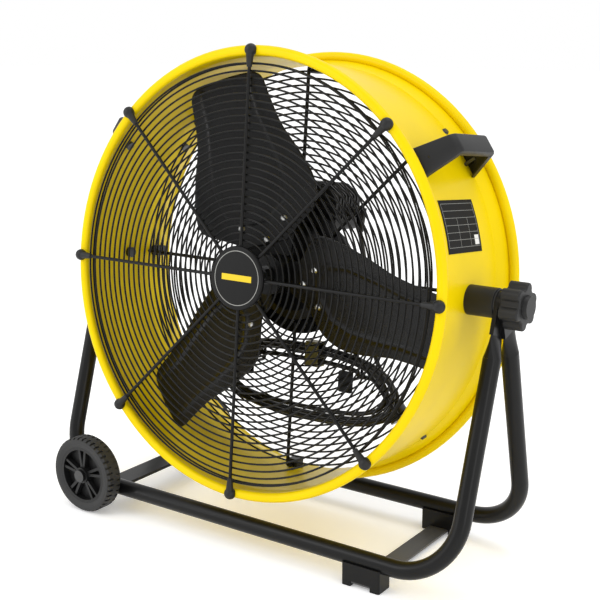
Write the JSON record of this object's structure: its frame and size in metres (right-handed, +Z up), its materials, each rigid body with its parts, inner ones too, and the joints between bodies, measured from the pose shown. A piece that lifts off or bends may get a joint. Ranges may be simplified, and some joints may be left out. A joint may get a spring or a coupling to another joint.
{
  "type": "portable drum fan",
  "caption": "Portable axial drum fan: yellow rolled barrel with wire grilles, riveted metal impeller and motor, tilting on a tubular stand with transport wheels and feet.",
  "frame": {"origin": "on the floor, at the middle of the fan's footprint, below the tilt axis", "axes": "+Z up; -Y the way the air leaves (front); -X the wheel end; the tilt axis runs along X"},
  "size_m": [0.8186, 0.332, 0.7467],
  "materials": {
    "yellow_paint": "gloss",
    "black_paint": "satin",
    "black_wire": "satin",
    "grey_strap": "satin",
    "black_plastic": "moulded, slightly textured",
    "black_gloss": "gloss",
    "badge": "gloss with a plain band",
    "plate": "printed film",
    "rubber": "matt",
    "tyre": "treaded",
    "cord": "matt jacket",
    "zinc": "zinc plated",
    "brass": "plain",
    "alloy": "cast",
    "laminations": "stacked steel",
    "copper": "enamelled wire",
    "tie": "matt"
  },
  "bodies": {
    "stand": {"front_stand_loop": "black_paint", "rear_stand_loop": "black_paint", "foot_strap": "grey_strap", "stand_feet": "black_paint", "foot_screws": "zinc", "wheel_crossbar": "black_paint", "wheel_brackets": "black_paint", "wheel_axles": "zinc", "axle_nuts": "zinc"},
    "drum": {"drum_barrel": "yellow_paint", "front_grille_rings": "black_wire", "front_grille_spokes": "black_wire", "front_grille_caps": "black_plastic", "badge_disc": "badge", "rear_grille_rings": "black_wire", "rear_grille_spokes": "black_wire", "rear_grille_clamps": "black_plastic", "clamp_screws": "zinc", "right_carry_handle": "black_plastic", "left_carry_handle": "black_plastic", "handle_bolts": "zinc", "rating_plate": "plate", "pivot_spacers": "black_plastic", "friction_washers": "rubber", "pivot_bolts": "zinc", "motor_front_bell": "black_paint", "motor_shell": "black_paint", "motor_rear_bell": "black_paint", "stator_core": "laminations", "stator_windings": "copper", "motor_bearings": "zinc", "motor_bolts": "zinc", "switch_box": "black_plastic", "switch_box_cover": "black_plastic", "cover_screws": "zinc", "speed_switch": "black_plastic", "capacitor": "alloy", "cord_gland": "black_plastic", "cord_lead": "cord", "cord_tail": "cord", "cord_hank": "cord", "cord_tie": "tie", "cord_hooks": "black_wire", "plug": "cord", "plug_pins": "brass"},
    "impeller": {"blade_1": "black_paint", "blade_2": "black_paint", "blade_3": "black_paint", "impeller_hub": "black_paint", "blade_rivets": "alloy", "motor_shaft": "zinc", "rotor_core": "laminations", "hub_nut": "zinc"},
    "speed_knob": {"switch_knob": "black_plastic"},
    "right_knob": {"right_tilt_knob": "black_plastic"},
    "left_knob": {"left_tilt_knob": "black_plastic"},
    "front_wheel_body": {"front_tyre": "tyre", "front_wheel": "black_plastic"},
    "rear_wheel_body": {"rear_tyre": "tyre", "rear_wheel": "black_plastic"}
  },
  "joints": [
    {"name": "drum_tilt", "type": "hinge", "parent": "stand", "child": "drum", "pos_m": [0, 0, 0.404], "axis": [-1, 0, 0], "range_deg": [-95, 85]},
    {"name": "impeller_spin", "type": "hinge", "parent": "drum", "child": "impeller", "pos_m": [0, 0, 0.404], "axis": [0, -0.9956, 0.0941], "continuous": true},
    {"name": "speed_knob_turn", "type": "hinge", "parent": "drum", "child": "speed_knob", "pos_m": [-0.018, 0.1394, 0.4973], "axis": [0, -0.9956, 0.0941], "range_deg": [0, 120]},
    {"name": "right_knob_turn", "type": "hinge", "parent": "drum", "child": "right_knob", "pos_m": [0.39, 0, 0.404], "axis": [1, 0, 0], "continuous": true},
    {"name": "left_knob_turn", "type": "hinge", "parent": "drum", "child": "left_knob", "pos_m": [-0.39, 0, 0.404], "axis": [-1, 0, 0], "continuous": true},
    {"name": "front_wheel_roll", "type": "hinge", "parent": "stand", "child": "front_wheel_body", "pos_m": [-0.287, -0.146, 0.062], "axis": [0, 1, 0], "continuous": true},
    {"name": "rear_wheel_roll", "type": "hinge", "parent": "stand", "child": "rear_wheel_body", "pos_m": [-0.287, 0.146, 0.062], "axis": [0, 1, 0], "continuous": true}
  ]
}
